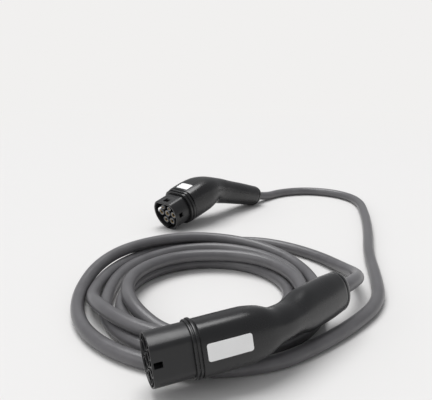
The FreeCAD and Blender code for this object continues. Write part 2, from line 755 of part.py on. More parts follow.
# Housing: one hollow moulding from the collar seal to the gland cap
def gripHousing(kind, sections):
    places = list(sections)
    shell = housingLoft(kind, places, 0.0)
    wall, mouth = size("Sizes.housingWall"), size("Sizes.housingMouth")
    front = size(kind.housingFront)
    hollow = housingLoft(kind, places, wall)
    keep = Part.makeBox(4 * mouth, 8 * mouth, 8 * mouth, Vector(-front - mouth, -4 * mouth, -4 * mouth))
    hollow = hollow.cut(keep)
    bore = prismD(kind, front - 1, mouth + 2, size(kind.step) - size("Sizes.slideGap"))
    shell = shell.cut(hollow).cut(bore).cut(labelPocket(kind, places))
    return addShape(kind.prefix + "_grip_housing", shell)


# Gland cap: closes the housing and lets the cable out through its end
def buttFrame(kind, beyond):
    centre, turn = spinePoint(kind, size(kind.own("ButtAt")) + beyond)
    return centre, turn


def glandCap(kind):
    along, half, top, bottom, square = sectionNumbers(kind, "Butt")
    seam, length = size("Sizes.capSeam"), size("Sizes.capLength")
    reach, less = size("Sizes.capSpigot"), size("Sizes.housingWall") + size("Sizes.cableGap")
    wires = []
    for share, scale in ((0.0, 1.0), (0.5, size("Sizes.capMidHalf")), (1.0, size("Sizes.capEndHalf"))):
        at = along + seam + share * length
        wires.append(sectionWire(kind, at, half * scale, top * scale, bottom * scale, square))
    cap = Part.makeLoft(wires, True, False)
    inside = [half - less, top - less, bottom - less, square]
    spigot = Part.makeLoft([sectionWire(kind, along - reach, *inside),
                            sectionWire(kind, along + seam + 1, *inside)], True, False)
    cap = cap.fuse(spigot)
    start, turn = buttFrame(kind, -reach - 1)
    way = heading(turn)
    hollow = size("Sizes.cableRadius") + 2 * size("Sizes.cableGap") + size("Sizes.cableSealRim")
    deep = reach + 1 + seam + length - size("Sizes.capEndWall")
    cap = cap.cut(Part.makeCylinder(hollow, deep, start, way))
    cap = cap.cut(Part.makeCylinder(size("Sizes.cableRadius") + size("Sizes.cableGap"), 4 * length, start, way))
    return addShape(kind.prefix + "_gland_cap", cap)


def ringAlong(kind, beyond, length, outer, inner):
    start, turn = buttFrame(kind, beyond)
    way = heading(turn)
    return Part.makeCylinder(outer, length, start, way).cut(Part.makeCylinder(inner, length, start, way))


def cableSeal(kind):
    bore = size("Sizes.cableRadius") + size("Sizes.cableGap")
    end = size("Sizes.capSeam") + size("Sizes.capLength") - size("Sizes.capEndWall")
    thick = size("Sizes.cableSealThickness")
    ring = ringAlong(kind, end - thick, thick, bore + size("Sizes.cableSealRim"), bore)
    return addShape(kind.prefix + "_cable_seal", ring)


def cableEnd(kind):
    end = size("Sizes.capSeam") + size("Sizes.capLength")
    length = size("Sizes.cableEndLength")
    start, turn = buttFrame(kind, end - length)
    rodShape = Part.makeCylinder(size("Sizes.cableRadius"), length, start, heading(turn))
    return addShape(kind.prefix + "_cable_end", rodShape)


# Cable clamp: two half rings with ears, pulled together by two screws
def clampBox(kind, side, wide, base, tall):
    start, turn = buttFrame(kind, -size("Sizes.clampInset") - size("Sizes.clampLength"))
    box = Part.makeBox(size("Sizes.clampLength"), wide, tall, Vector(0, side, base))
    box.Placement = Placement(start, Rotation(heading(turn), Vector(0, -1, 0), Vector(), "XZY"))
    return box


def clampHalf(kind, word, sign):
    length, split = size("Sizes.clampLength"), size("Sizes.clampSplit")
    bore = size("Sizes.cableRadius") + size("Sizes.cableGap")
    outer = bore + size("Sizes.clampWall")
    ear, tall = size("Sizes.clampEar"), size("Sizes.clampEarHeight")
    ring = ringAlong(kind, -size("Sizes.clampInset") - length, length, outer, bore)
    low = min(sign * split / 2, sign * (split / 2 + 2 * outer))
    half = ring.common(clampBox(kind, -outer, 2 * outer, low, 2 * outer))
    for side in (bore + 0.5, -bore - 0.5 - ear):
        low = min(sign * split / 2, sign * (split / 2 + tall))
        half = half.fuse(clampBox(kind, side, ear, low, tall))
    for screw in clampScrewRods(kind, size("Sizes.seatGap"), headroom=outer):
        half = half.cut(screw)
    return addShape("%s_clamp_%s" % (kind.prefix, word), half.removeSplitter())


def clampScrewRods(kind, gap=0.0, headroom=None):
    """The two clamp screws of a connector; headroom gives the open way above each ear instead of the head."""
    bore = size("Sizes.cableRadius") + size("Sizes.cableGap")
    outer = bore + size("Sizes.clampWall")
    reach = size("Sizes.clampSplit") / 2 + size("Sizes.clampEarHeight")
    middle, turn = buttFrame(kind, -size("Sizes.clampInset") - size("Sizes.clampLength") / 2)
    up = across(turn, 0, 1)
    radius = size("Sizes.clampScrewRadius") + gap
    rods = []
    for sign in (-1, 1):
        centre = middle + across(turn, sign * (outer + size("Sizes.clampScrewRadius") * 0.4), 0)
        top = centre + up * reach
        shank = rod(centre - up * reach, top, radius)
        cap = rod(top, top + up * (headroom or size("Sizes.clampScrewHeadHeight")), size("Sizes.clampScrewHead") + gap)
        rods.append(shank.fuse(cap).removeSplitter())
    return rods


# Retainer screws of a connector: countersunk heads behind the retainer plate
def retainerScrewRods(kind):
    rear = -size(kind.retainerRear)
    rods = []
    for rise in (size("Sizes.retainerScrewRise"), -size("Sizes.retainerScrewDrop")):
        seat = Vector(rear, 0, rise)
        tip = seat + Vector(size("Sizes.retainerScrewLength"), 0, 0)
        back = seat - Vector(size("Sizes.retainerScrewHeadHeight"), 0, 0)
        screw = rod(seat, tip, size("Sizes.retainerScrewRadius"))
        screw = screw.fuse(rod(back, seat, size("Sizes.retainerScrewHead")))
        recess = rod(back, (back + seat) * 0.5, size("Sizes.retainerScrewSocket"))
        rods.append(screw.cut(recess).removeSplitter())
    return rods


# Coding resistor between the proximity contact and the protective earth contact
def codingResistor(kind):
    x = -size(kind.retainerRear) - size("Sizes.contactTailLength") / 4
    pilotSide, pilotUp = -size("Sizes.pilotHalfPitch"), size("Sizes.pilotRise")
    earth, pilotEnd = Vector(x, 0, 0), Vector(x, pilotSide, pilotUp)
    way = (pilotEnd - earth).normalize()
    gap, step = size("Sizes.seatGap"), size("Sizes.contactTailStep")
    start = earth + way * (size("Sizes.powerShankRadius") - step + gap)
    end = pilotEnd - way * (size("Sizes.pilotShankRadius") - step + gap)
    middle = (start + end) * 0.5
    reach = way * (size("Sizes.resistorLength") / 2)
    shape = rod(start, end, size("Sizes.leadRadius"))
    shape = shape.fuse(rod(middle - reach, middle + reach, size("Sizes.resistorRadius")))
    return addShape(kind.prefix + "_coding_resistor", shape.removeSplitter())


# Conductors: from the end of the cable jacket, along the housing, out to each crimp
def conductor(kind, place):
    name, side, rise, isPower = place
    word = "power" if isPower else "pilot"
    radius = size("Sizes.%sWireRadius" % word)
    y = 0.0 if side is None else side[0] * size(side[1])
    z = 0.0 if rise is None else rise[0] * size(rise[1])
    away = math.hypot(y, z)
    bundle = size("Sizes.wireBundleRadius") / away if away else 0.0
    end = size("Sizes.capSeam") + size("Sizes.capLength") - size("Sizes.cableEndLength")
    first = size(kind.own("ButtAt")) + end
    bundled = size(kind.own("WiresBundledAt"))
    rear = -size(kind.retainerRear) - size("Sizes.contactTailLength")
    splayed = size("Sizes.wireLead") - rear - size(kind.housingFront)
    points = []
    steps = 14
    for step in range(steps + 1):
        along = first - (first - splayed) * step / steps
        centre, turn = spinePoint(kind, along)
        share = min(max((bundled - along) / (bundled - splayed), 0.0), 1.0)
        share = share * share * (3 - 2 * share)
        scale = bundle + (1 - bundle) * share if away else 0.0
        points.append(centre + across(turn, y * scale, z * scale))
    bottom = rear + size("Sizes.crimpLength") - 2 * size("Sizes.seatGap")
    points[0] = spinePoint(kind, first)[0] + across(spinePoint(kind, first)[1], y * bundle, z * bundle)
    points += [Vector(rear - 1, y, z), Vector(bottom, y, z)]
    curve = Part.BSplineCurve()
    curve.interpolate(Points=points, InitialTangent=heading(spinePoint(kind, first)[1]) * -1,
                      FinalTangent=Vector(1, 0, 0))
    path = Part.Wire(curve.toShape())
    start = Part.Wire(Part.makeCircle(radius, points[0], heading(spinePoint(kind, first)[1])))
    shape = path.makePipeShell([start], True, False)
    return addShape("%s_conductor_%s" % (kind.prefix, name), shape)


# Where each connector lies
def layDown(kind):
    at = Vector(*(size(kind.own(axis)) for axis in "XYZ"))
    return Placement(at, Rotation(*(size(kind.own(word)) for word in ("Azimuth", "Pitch", "Roll"))))


# Cable outside the connectors: straight runs joined by arcs
def roundedPath(points):
    runs = [(after - before).Length for before, after in zip(points, points[1:])]
    share, endShare = size("Sizes.pathShare"), size("Sizes.endShare")
    edges, radii, here = [], [], points[0]
    for n in range(1, len(points) - 1):
        back = (points[n - 1] - points[n]).normalize()
        ahead = (points[n + 1] - points[n]).normalize()
        turn = math.pi - back.getAngle(ahead)
        before = (endShare if n == 1 else share) * runs[n - 1]
        after = (endShare if n == len(points) - 2 else share) * runs[n]
        reach = min(before, after)
        radius = reach / math.tan(turn / 2)
        start, end = points[n] + back * reach, points[n] + ahead * reach
        inward = (back + ahead).normalize()
        middle = points[n] + inward * (radius / math.cos(turn / 2) - radius)
        edges.append(Part.LineSegment(here, start).toShape())
        edges.append(Part.Arc(start, middle, end).toShape())
        radii.append(radius)
        here = end
    edges.append(Part.LineSegment(here, points[-1]).toShape())
    return Part.Wire(edges), radii


def tube(points, radius):
    path, radii = roundedPath(points)
    start = Part.Wire(Part.makeCircle(radius, points[0], points[1] - points[0]))
    return path.makePipeShell([start], True, False), path.Length, radii


def coilCurve(table, periodic):
    centre = Vector(size("Sizes.coilX"), size("Sizes.coilY"), 0)
    points = []
    for degrees, radius in table:
        angle = math.radians(degrees)
        points.append(centre + Vector(radius * math.cos(angle), -radius * math.sin(angle), 0))
    curve = Part.BSplineCurve()
    curve.interpolate(Points=points, PeriodicFlag=periodic)
    return curve.toShape()


def roundRims(slab, *heights):
    """Round the long edges that lie at the given heights."""
    rims = [edge for edge in slab.Edges for z in heights
            if edge.Length > 50 and abs(edge.BoundBox.ZMin - z) < 0.01 and abs(edge.BoundBox.ZMax - z) < 0.01]
    unique = [edge for n, edge in enumerate(rims) if not any(edge.isSame(other) for other in rims[:n])]
    return slab.makeFillet(size("Sizes.coilRounding"), unique)


def coilSector(outer, inner, base, top):
    first, second = coilCurve(outer, False), coilCurve(inner, False)
    closing = [Part.LineSegment(first.lastVertex().Point, second.lastVertex().Point).toShape(),
               Part.LineSegment(first.firstVertex().Point, second.firstVertex().Point).toShape()]
    edges = Part.sortEdges([first, second] + closing)[0]
    face = Part.Face(Part.Wire(edges))
    face.translate(Vector(0, 0, base))
    return roundRims(face.extrude(Vector(0, 0, top - base)), top, top)


def coilSolid(tubes):
    top = size("Sizes.coilFloorTop")
    outer = Part.Face(Part.Wire(coilCurve(coilFloorOuter, True)))
    inner = Part.Face(Part.Wire(coilCurve(coilFloorInner, True)))
    coil = roundRims(outer.cut(inner).extrude(Vector(0, 0, top)), 0.0, top)
    for outer, inner, height in ((coilTopOuter, coilTopInner, "coilTop"), (coilDipOuter, coilDipInner, "coilDipTop"),
                                 (coilCrossOuter, coilCrossInner, "coilCrossTop"),
                                 (coilBridgeOuter, coilBridgeInner, "coilBridgeTop")):
        coil = coil.fuse(coilSector(outer, inner, top / 2, size(cell(height))))
    for piece in tubes:
        coil = coil.cut(piece)
    return coil


# Build both connectors
made = {"vehicle": [], "plug": []}
for kind, sections in ((vehicle, vehicleSections), (plug, plugSections)):
    pieces = made[kind.prefix]
    pieces.append(noseShell(kind))
    pieces.append(vehicleCarrier() if kind is vehicle else plugCarrier())
    if kind is vehicle:
        pieces.append(touchGuards("vehicle_power_guards", True))
        pieces.append(touchGuards("vehicle_pilot_guards", False))
    else:
        pieces.append(contactWells())
    for place in contactPlaces:
        pieces.append(contact(kind, place))
    pieces.append(retainerPlate(kind))
    pieces.append(codingResistor(kind))
    pieces.append(collar(kind))
    pieces.append(collarSeal(kind))
    pieces.append(gripHousing(kind, sections))
    pieces.append(addShape(kind.prefix + "_label", labelPlate(kind, list(sections))))
    pieces.append(glandCap(kind))
    pieces.append(cableSeal(kind))
    pieces.append(cableEnd(kind))
    pieces.append(clampHalf(kind, "upper", 1))
    pieces.append(clampHalf(kind, "lower", -1))
    for place in contactPlaces:
        if place[0] != "pp":
            pieces.append(conductor(kind, place))
doc.recompute()

# Lay both connectors down; their screws are kept as one group each
placed = {"vehicle": layDown(vehicle), "plug": layDown(plug)}
nodes = []
for prefix, pieces in made.items():
    for piece in pieces:
        piece.Placement = placed[prefix]
        nodes.append(piece)


def screwGroup(label, maker):
    solids = []
    for kind in (vehicle, plug):
        for screw in maker(kind):
            screw.Placement = placed[kind.prefix].multiply(screw.Placement)
            solids.append(screw)
    return addShape(label, Part.makeCompound(solids))


nodes.append(screwGroup("retainer_screws", retainerScrewRods))
nodes.append(screwGroup("clamp_screws", clampScrewRods))


# Lay the cable: it leaves the vehicle connector, drops to the floor and ends in the station plug
def glandExit(kind):
    centre, turn = buttFrame(kind, size("Sizes.capSeam") + size("Sizes.capLength"))
    place = placed[kind.prefix]
    return place.multVec(centre), place.Rotation.multVec(heading(turn))


cableRadius = size("Sizes.cableRadius")
outPoint, outWay = glandExit(vehicle)
drop = (outPoint.z - cableRadius) / -outWay.z
floorPoints = [outPoint, outPoint + outWay * drop] + [Vector(*corner) for corner in floorRun]
endPoint, endWay = glandExit(plug)
exitLead = 40.0
exitPoints = [Vector(*corner) for corner in exitRun] + [endPoint + endWay * exitLead, endPoint]
fattened = []
lengths = {}
for label, points in (("cable_floor_run", floorPoints), ("cable_exit_run", exitPoints)):
    shape, length, radii = tube(points, cableRadius)
    lengths[label] = length
    nodes.append(addShape(label, shape))
    fattened.append(tube(points, cableRadius + size("Sizes.cableGap"))[0])
    exact = math.pi * cableRadius ** 2 * length
    print(label, "length", round(length, 1), "volume ratio", round(shape.Volume / exact, 4))
    print("  radii", [round(radius) for radius in radii])
nodes.append(addShape("cable_coil", coilSolid(fattened)))
doc.recompute()
print("vehicle exit", outPoint, outWay, "drop run", round(drop, 1))
print("plug exit", endPoint, endWay)

# Check every object, then write one file per piece
bad = [item.Name for item in doc.Objects if {"Invalid", "Error"} & set(item.State)]
assert not bad, "objects with errors: %s" % bad
for node in nodes:
    shape = node.Shape
    assert not shape.isNull() and shape.isValid(), node.Label + " has a bad shape"
    shape.exportStep("parts/%s.step" % node.Label)
    box = shape.optimalBoundingBox(False, False)
    print("%-28s solids %d volume %9.1f z %.2f to %.2f" % (
        node.Label, len(shape.Solids), shape.Volume, box.ZMin, box.ZMax))
fixed = Part.makeCompound([node.Shape for node in nodes if not node.Label.startswith("cable_")])
box = fixed.optimalBoundingBox(False, False)
print("box centre", round(box.Center.x, 3), round(box.Center.y, 3), "lowest", round(box.ZMin, 3), "nodes", len(nodes))
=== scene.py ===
import bpy, bmesh
import math
from mathutils import Matrix, Vector


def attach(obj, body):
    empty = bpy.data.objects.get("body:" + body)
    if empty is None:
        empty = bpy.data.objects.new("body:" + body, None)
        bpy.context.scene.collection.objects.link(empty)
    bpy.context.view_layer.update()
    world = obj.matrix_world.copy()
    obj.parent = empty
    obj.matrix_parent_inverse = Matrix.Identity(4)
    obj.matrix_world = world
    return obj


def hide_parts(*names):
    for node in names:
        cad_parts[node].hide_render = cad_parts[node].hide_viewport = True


# Three-phase charging cable: a socket-type vehicle connector, a pin-type station plug and one flexible cable

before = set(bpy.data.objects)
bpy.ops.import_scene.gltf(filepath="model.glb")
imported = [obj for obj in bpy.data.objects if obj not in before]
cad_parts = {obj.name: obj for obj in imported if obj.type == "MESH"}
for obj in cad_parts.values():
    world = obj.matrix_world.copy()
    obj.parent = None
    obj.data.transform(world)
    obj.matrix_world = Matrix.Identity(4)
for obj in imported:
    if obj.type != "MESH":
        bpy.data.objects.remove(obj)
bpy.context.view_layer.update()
mm = 0.001


# Materials

def srgb(code):  # sRGB hex to linear colour
    parts = [int(code[n:n + 2], 16) / 255 for n in (0, 2, 4)]
    return [c / 12.92 if c <= 0.04045 else ((c + 0.055) / 1.055) ** 2.4 for c in parts] + [1.0]


def addNode(tree, kind, settings=None, links=None):  # one node, its values and what feeds it
    node = tree.nodes.new(kind)
    for name, value in (settings or {}).items():
        if isinstance(name, int) or name in node.inputs:
            node.inputs[name].default_value = value
        else:
            setattr(node, name, value)
    for name, source in (links or {}).items():
        tree.links.new(source, node.inputs[name])
    return node


def newMaterial(name):
    material = bpy.data.materials.new(name)
    material.use_nodes = True
    tree = material.node_tree
    tree.nodes.clear()
    place = addNode(tree, "ShaderNodeTexCoord")
    return material, tree, place.outputs["Object"]


glossRange = (0.3, 0.7, -0.05, 0.06)  # marks from and to, and the roughness they take off and add


def moulded(values):  # grain of the tool in the surface, with soft uneven handling marks over it
    material, tree, place = newMaterial(values["name"])
    grain = addNode(tree, "ShaderNodeTexNoise", {"Scale": 1000 / values["grainMm"], "Detail": 2.0}, {"Vector": place})
    marks = addNode(tree, "ShaderNodeTexNoise",
                    {"Scale": 1000 / values["marksMm"], "Detail": 4.0, "Roughness": 0.6}, {"Vector": place})
    colour = addNode(tree, "ShaderNodeMix",
                     {"data_type": "RGBA", 6: srgb(values["colour"]), 7: srgb(values["worn"])},
                     {0: marks.outputs["Fac"]})
    low, high, less, more = glossRange
    sheen = addNode(tree, "ShaderNodeMapRange",
                    {"From Min": low, "From Max": high, "To Min": values["roughness"] + less,
                     "To Max": values["roughness"] + more}, {"Value": marks.outputs["Fac"]})
    bump = addNode(tree, "ShaderNodeBump", {"Strength": values["bump"], "Distance": values["deepMm"] * mm},
                   {"Height": grain.outputs["Fac"]})
    shader = addNode(tree, "ShaderNodeBsdfPrincipled", {"IOR": values["ior"]},
                     {"Base Color": colour.outputs[2], "Roughness": sheen.outputs["Result"],
                      "Normal": bump.outputs["Normal"]})
    addNode(tree, "ShaderNodeOutputMaterial", links={"Surface": shader.outputs["BSDF"]})
    return material


def platedMetal(values):  # turned brass under a thin plating: fine grain in the tone, dull
    material, tree, place = newMaterial(values["name"])
    grain = addNode(tree, "ShaderNodeTexNoise", {"Scale": 1000 / values["grainMm"], "Detail": 3.0}, {"Vector": place})
    colour = addNode(tree, "ShaderNodeMix",
                     {"data_type": "RGBA", 6: srgb(values["colour"]), 7: srgb(values["worn"])},
                     {0: grain.outputs["Fac"]})
    shader = addNode(tree, "ShaderNodeBsdfPrincipled", {"Metallic": 1.0, "Roughness": values["roughness"]},
                     {"Base Color": colour.outputs[2]})
    addNode(tree, "ShaderNodeOutputMaterial", links={"Surface": shader.outputs["BSDF"]})
    return material


print("materials")
finishes = {
    # glass-filled nylon, moulded: near black, dry and slightly rough
    "nylon": moulded({"name": "GlassFilledNylon", "colour": "141415", "worn": "1b1b1d", "roughness": 0.36,
                      "grainMm": 0.6, "marksMm": 30, "bump": 0.35, "deepMm": 0.05, "ior": 1.53}),
    # nylon grip shells from a spark-eroded mould: even fine grain, satin highlight
    "grip": moulded({"name": "TexturedNylonGrip", "colour": "101011", "worn": "161618", "roughness": 0.28,
                     "grainMm": 0.9, "marksMm": 45, "bump": 0.45, "deepMm": 0.08, "ior": 1.53}),
    # polyurethane cable jacket, extruded: mid grey with a soft long highlight and light scuffs
    "jacket": moulded({"name": "PolyurethaneJacket", "colour": "504f51", "worn": "6e6d6f", "roughness": 0.33,
                       "grainMm": 2.0, "marksMm": 30, "bump": 0.1, "deepMm": 0.03, "ior": 1.5}),
    # polycarbonate touch guards: mid grey, slightly glossy
    "guard": moulded({"name": "PolycarbonateGuard", "colour": "6d6e70", "worn": "78797b", "roughness": 0.42,
                      "grainMm": 0.5, "marksMm": 9, "bump": 0.15, "deepMm": 0.03, "ior": 1.58}),
    # silicone seal: black and matte
    "seal": moulded({"name": "SiliconeSeal", "colour": "101112", "worn": "161718", "roughness": 0.65,
                     "grainMm": 0.8, "marksMm": 15, "bump": 0.2, "deepMm": 0.04, "ior": 1.41}),
    # polyester label film: white and satin
    "label": moulded({"name": "PolyesterLabel", "colour": "f6f6f6", "worn": "eeeeed", "roughness": 0.38,
                      "grainMm": 0.7, "marksMm": 12, "bump": 0.08, "deepMm": 0.02, "ior": 1.57}),
    # wire insulation, hidden inside the grips
    "insulation": moulded({"name": "WireInsulation", "colour": "6b4a2c", "worn": "5e4127", "roughness": 0.5,
                           "grainMm": 0.6, "marksMm": 10, "bump": 0.1, "deepMm": 0.03, "ior": 1.5}),
    "contact": platedMetal({"name": "SilverPlatedBrass", "colour": "cdb88e", "worn": "b59d72", "roughness": 0.34,
                            "grainMm": 0.4}),
    "screw": platedMetal({"name": "ZincPlatedSteel", "colour": "b9bcc0", "worn": "a3a6aa", "roughness": 0.38,
                          "grainMm": 0.5}),
}


finishWords = [("guards", "guard"), ("socket", "contact"), ("pin_", "contact"), ("seal", "seal"), ("screws", "screw"),
               ("label", "label"), ("conductor", "insulation"), ("resistor", "insulation"), ("cable", "jacket"),
               ("collar", "grip"), ("housing", "grip"), ("cap", "grip")]  # word in a node's name, its finish


def finishFor(node):
    for word, finish in finishWords:
        if word in node:
            return finishes[finish]
    return finishes["nylon"]


for name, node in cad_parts.items():
    node.data.materials.clear()
    node.data.materials.append(finishFor(name))


# Where each connector lies, and its shape, as in the solids: +X out of the face, +Z to the flat top

vehicle = {
    "name": "vehicle", "place": (-116.83, 170.47, 30.17), "azimuth": 226.1, "pitch": 15.915, "roll": 0.0,
    "nose": (31.5, 25.0, 9.0), "wall": 3.3, "noseLength": 34.0, "depth": 28.0,  # nose: radius, flat, corner
    "collar": (37.2, 30.2), "collarParts": (3.0, 3.0, 5.0),  # radius, flat; flange, groove, band
    "straight": 28.0, "bend": 150.0, "turn": 32.0,
    "sections": [  # along, half width, above, below, squareness of the top
        (0, 36.2, 30.6, 37.0, 3.6), (24, 36.6, 31.4, 37.4, 3.4), (46, 36.0, 31.4, 36.6, 3.0),
        (64, 32.6, 29.6, 33.0, 2.7), (84, 26.0, 25.6, 26.0, 2.4), (100, 22.8, 23.4, 28.4, 2.3),
        (128, 21.4, 21.8, 26.8, 2.2), (175, 22.3, 21.0, 24.6, 2.2), (212, 22.0, 19.6, 23.0, 2.2)],
    "openings": [  # middle and size: top window, side windows, keyway
        ((-12, 0, 25), (10, 13, 10)), ((-12, 31, 0), (10, 10, 8.5)), ((-12, -31, 0), (10, 10, 8.5)),
        ((-6.5, 0, -28.9), (15, 5, 2.6))],
    "label": (5.0, 17.5, 30.0),  # from the housing's front, length, width
}
plug = {
    "name": "plug", "place": (-87.45, -350.32, 41.34), "azimuth": 200.9, "pitch": 4.1, "roll": -77.0,
    "nose": (27.2, 21.7, 8.2), "wall": 1.8, "noseLength": 41.0, "depth": 39.0,
    "collar": (30.2, 25.9), "collarParts": (2.4, 1.2, 2.4), "straight": 58.8, "bend": 99.0, "turn": 28.4,
    "sections": [
        (0, 28.0, 24.8, 28.0, 3.4), (28, 28.3, 25.2, 28.3, 3.3), (50.8, 28.4, 25.0, 27.7, 3.0),
        (68.8, 26.0, 23.2, 25.2, 2.7), (88.8, 19.0, 20.3, 21.2, 2.4), (108.8, 18.5, 19.7, 20.6, 2.3),
        (144.8, 25.2, 19.7, 20.9, 2.2), (182.8, 25.6, 19.3, 20.7, 2.2), (210.7, 24.4, 18.0, 19.5, 2.2)],
    "openings": [((-6.4, 0, 22), (8.8, 6, 8))],
    "label": (5.0, 46.5, 17.4),
}
sealThickness, housingWall, capLength, capSeam = 1.4, 2.8, 14.0, 0.3
cableRadius = 8.75


def placement(kind):
    azimuth, pitch, roll = (math.radians(kind[word]) for word in ("azimuth", "pitch", "roll"))
    turned = Matrix.Rotation(azimuth, 4, "Z") @ Matrix.Rotation(pitch, 4, "Y")
    turned = turned @ Matrix.Rotation(roll, 4, "X")
    return Matrix.Translation(Vector(kind["place"]) * mm) @ turned @ Matrix.Scale(mm, 4)


def spine(kind, along):  # centre of the grip housing and its turn so far
    front = -kind["noseLength"] - sum(kind["collarParts"]) - sealThickness
    whole = math.radians(kind["turn"])
    if along <= kind["straight"]:
        return Vector((front - along, 0, 0)), 0.0
    turn = min((along - kind["straight"]) / kind["bend"], whole)
    rest = max(along - kind["straight"] - kind["bend"] * whole, 0.0)
    x = front - kind["straight"] - kind["bend"] * math.sin(turn) - rest * math.cos(turn)
    z = -kind["bend"] * (1 - math.cos(turn)) - rest * math.sin(turn)
    return Vector((x, 0, z)), turn


def across(turn, y, z):
    return Vector((-z * math.sin(turn), y, z * math.cos(turn)))


def readTable(rows, at):  # smooth values between the rows of a table, with no overshoot
    keys = [row[0] for row in rows]
    at = min(max(at, keys[0]), keys[-1])
    n = max(k for k in range(len(keys) - 1) if keys[k] <= at + 1e-9)
    wide = keys[n + 1] - keys[n]
    t = (at - keys[n]) / wide
    found = []
    for column in range(1, len(rows[0])):
        values = [row[column] for row in rows]
        secants = [(b - a) / (q - p) for a, b, p, q in zip(values, values[1:], keys, keys[1:])]
        slopes = [secants[0]]
        for before, after in zip(secants, secants[1:]):
            slopes.append(2 * before * after / (before + after) if before * after > 0 else 0.0)
        slopes.append(secants[-1])
        found.append((1 + 2 * t) * (1 - t) ** 2 * values[n] + t * (1 - t) ** 2 * wide * slopes[n]
                     + t * t * (3 - 2 * t) * values[n + 1] + t * t * (t - 1) * wide * slopes[n + 1])
    return found


# Rings: each is one closed outline; a piece is swept through them in edit mode

ringSteps = {"round": 44, "corner": 7, "flat": 10, "grip": 64}
undersideSquareness = 2.1


def dRing(kind, x, less=0.0, size=None):
    radius, flat, corner = size or kind["nose"]
    radius, flat, corner = radius - less, flat - less, max(corner - less, 0.5)
    side = math.sqrt((radius - corner) ** 2 - (flat - corner) ** 2)
    start = math.atan2(flat - corner, side)
    points = []
    for n in range(ringSteps["round"]):
        angle = math.pi - start + (math.pi + 2 * start) * n / ringSteps["round"]
        points.append((x, radius * math.cos(angle), radius * math.sin(angle)))
    for n in range(ringSteps["corner"]):
        angle = start + (math.pi / 2 - start) * n / ringSteps["corner"]
        points.append((x, side + corner * math.cos(angle), flat - corner + corner * math.sin(angle)))
    for n in range(ringSteps["flat"]):
        points.append((x, side - 2 * side * n / ringSteps["flat"], flat))
    for n in range(ringSteps["corner"]):
        angle = math.pi / 2 + (math.pi / 2 - start) * n / ringSteps["corner"]
        points.append((x, -side + corner * math.cos(angle), flat - corner + corner * math.sin(angle)))
    return points


def gripRing(kind, along, less=0.0, scale=1.0, beyond=0.0):
    half, top, bottom, square = readTable(kind["sections"], along)
    centre, turn = spine(kind, along + beyond)
    points = []
    for n in range(ringSteps["grip"]):
        angle = 2 * math.pi * n / ringSteps["grip"]
        y, z = math.cos(angle), math.sin(angle)
        power = 2 / (square if z > 0 else undersideSquareness)
        reach = top if z > 0 else bottom
        y = math.copysign(abs(y) ** power, y) * (half - less) * scale
        z = math.copysign(abs(z) ** power, z) * (reach - less) * scale
        points.append(tuple(centre + across(turn, y, z)))
    return points


def holeRing(kind, along, radius):  # round hole along the housing's line
    centre, turn = spine(kind, along)
    angles = [2 * math.pi * n / ringSteps["grip"] for n in range(ringSteps["grip"])]
    return [tuple(centre + across(turn, radius * math.cos(a), radius * math.sin(a))) for a in angles]


def sweepRings(name, rings):  # first and last ring are joined, so the piece is a closed skin
    bpy.ops.object.select_all(action="DESELECT")
    bpy.ops.mesh.primitive_circle_add(vertices=len(rings[0]), radius=1)
    piece = bpy.context.object
    piece.name = piece.data.name = name
    bpy.ops.object.mode_set(mode="EDIT")
    for n, ring in enumerate(rings):
        if n:
            bpy.ops.mesh.extrude_region_move()
        mesh = bmesh.from_edit_mesh(piece.data)
        chosen = sorted((v for v in mesh.verts if v.select), key=lambda v: v.index)
        for vertex, point in zip(chosen, ring):
            vertex.co = point
        bmesh.update_edit_mesh(piece.data)
    bpy.ops.mesh.select_all(action="DESELECT")
    bpy.ops.mesh.select_non_manifold()
    bpy.ops.mesh.bridge_edge_loops()
    bpy.ops.mesh.select_all(action="SELECT")
    bpy.ops.mesh.normals_make_consistent(inside=False)
    bpy.ops.object.mode_set(mode="OBJECT")
    return piece


openingRounding = 0.7


def cutBox(piece, centre, size):  # straight-sided opening with small rounded corners
    bpy.ops.object.select_all(action="DESELECT")
    bpy.ops.mesh.primitive_cube_add(size=1, location=centre, scale=size)
    cutter = bpy.context.object
    bpy.ops.object.transform_apply(location=True, rotation=True, scale=True)
    soften = cutter.modifiers.new("Soften", "BEVEL")
    soften.width, soften.segments = openingRounding, 3
    bpy.ops.object.modifier_apply(modifier="Soften")
    bpy.context.view_layer.objects.active = piece
    cut = piece.modifiers.new("Opening", "BOOLEAN")
    cut.operation, cut.object = "DIFFERENCE", cutter
    bpy.ops.object.modifier_apply(modifier="Opening")
    bpy.data.objects.remove(cutter, do_unlink=True)


def finishPiece(piece, kind, finish, node, angle=38):  # laid in its place, in the stead of its CAD node
    piece.data.transform(placement(kind))
    bpy.ops.object.select_all(action="DESELECT")
    piece.select_set(True)
    bpy.context.view_layer.objects.active = piece
    bpy.ops.object.shade_smooth_by_angle(angle=math.radians(angle))
    piece.data.materials.clear()
    piece.data.materials.append(finishes[finish])
    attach(piece, "root")
    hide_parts(node)
    return piece


def noseShell(kind):
    back, wall = -kind["noseLength"] - 1, kind["wall"]
    profile = [  # along X, inwards from the outline: rounded rim, then the inner wall
        (back, 0), (-kind["noseLength"] * 0.6, 0), (-1.2, 0), (-0.8, 0), (-0.35, 0.12), (-0.1, 0.4), (0, 0.8),
        (0, wall - 0.6), (-0.15, wall - 0.2), (-0.6, wall), (-kind["depth"] - 2, wall), (back, wall)]
    piece = sweepRings(kind["name"] + "NoseShell", [dRing(kind, x, less) for x, less in profile])
    for centre, size in kind["openings"]:
        cutBox(piece, centre, size)
    return finishPiece(piece, kind, "nylon", kind["name"] + "_nose_shell")


